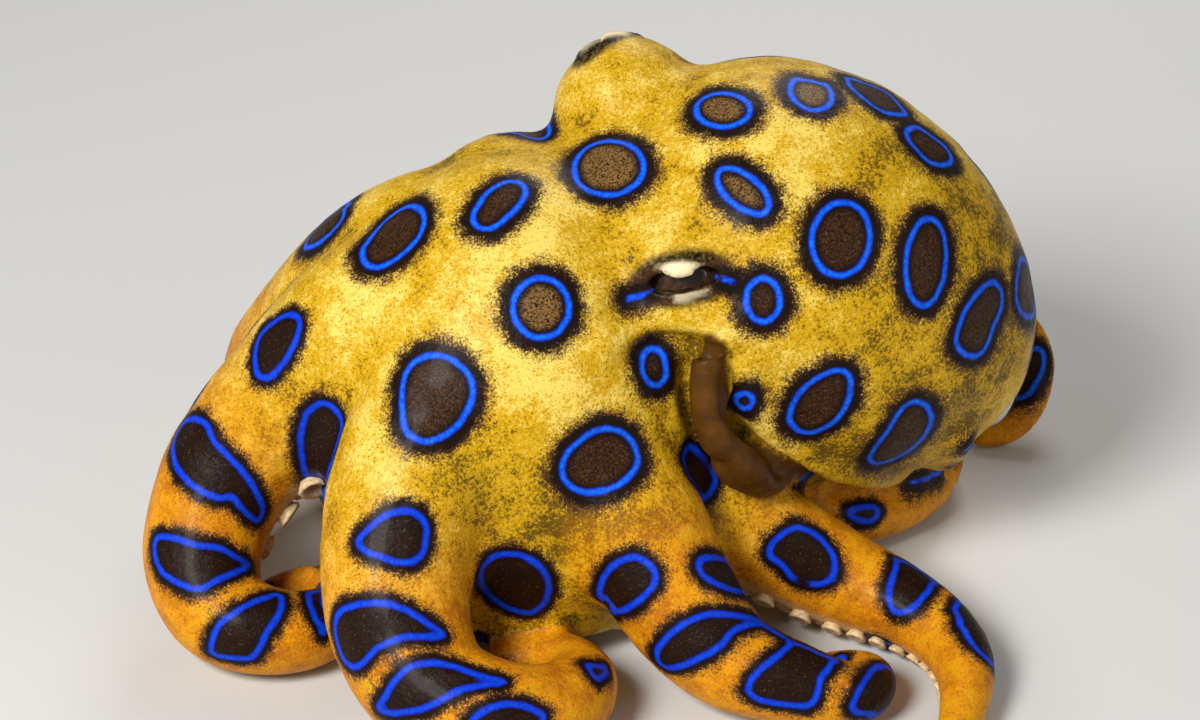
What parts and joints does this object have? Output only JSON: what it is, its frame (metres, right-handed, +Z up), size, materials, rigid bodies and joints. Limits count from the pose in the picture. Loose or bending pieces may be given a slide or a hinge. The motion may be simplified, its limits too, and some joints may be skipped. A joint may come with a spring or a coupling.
{
  "type": "blue ringed octopus",
  "caption": "Life-size still model of a blue ringed octopus resting on curled arms, with yellow skin and blue rings round dark patches.",
  "frame": {"origin": "on the floor, under the middle of the model's box", "axes": "+X from the arms' crown to the end of the mantle, -Y the animal's left side, which the picture shows, +Z up from the floor it rests on"},
  "size_m": [0.0704, 0.0624, 0.0396],
  "materials": {
    "skin": "moist and slightly glossy, ochre yellow with dark brown patches ringed in electric blue",
    "arm_skin": "moist and slightly glossy, orange yellow with dark bars outlined in blue, paler beneath",
    "eye": "wet gloss, dark brown with a black slit pupil",
    "funnel_skin": "moist, smooth orange brown"
  },
  "bodies": {
    "root": {"mantle": "skin", "head": "skin", "web": "skin", "eye_left": "eye", "eye_right": "eye", "funnel": "funnel_skin", "arm_left_1_base": "arm_skin", "arm_left_1_mid": "arm_skin", "arm_left_1_tip": "arm_skin", "arm_left_2_base": "arm_skin", "arm_left_2_mid": "arm_skin", "arm_left_2_tip": "arm_skin", "arm_left_3_base": "arm_skin", "arm_left_3_mid": "arm_skin", "arm_left_3_tip": "arm_skin", "arm_left_4_base": "arm_skin", "arm_left_4_mid": "arm_skin", "arm_left_4_tip": "arm_skin", "arm_right_1_base": "arm_skin", "arm_right_1_mid": "arm_skin", "arm_right_1_tip": "arm_skin", "arm_right_2_base": "arm_skin", "arm_right_2_mid": "arm_skin", "arm_right_2_tip": "arm_skin", "arm_right_3_base": "arm_skin", "arm_right_3_mid": "arm_skin", "arm_right_3_tip": "arm_skin", "arm_right_4_base": "arm_skin", "arm_right_4_mid": "arm_skin", "arm_right_4_tip": "arm_skin"}
  },
  "joints": []
}
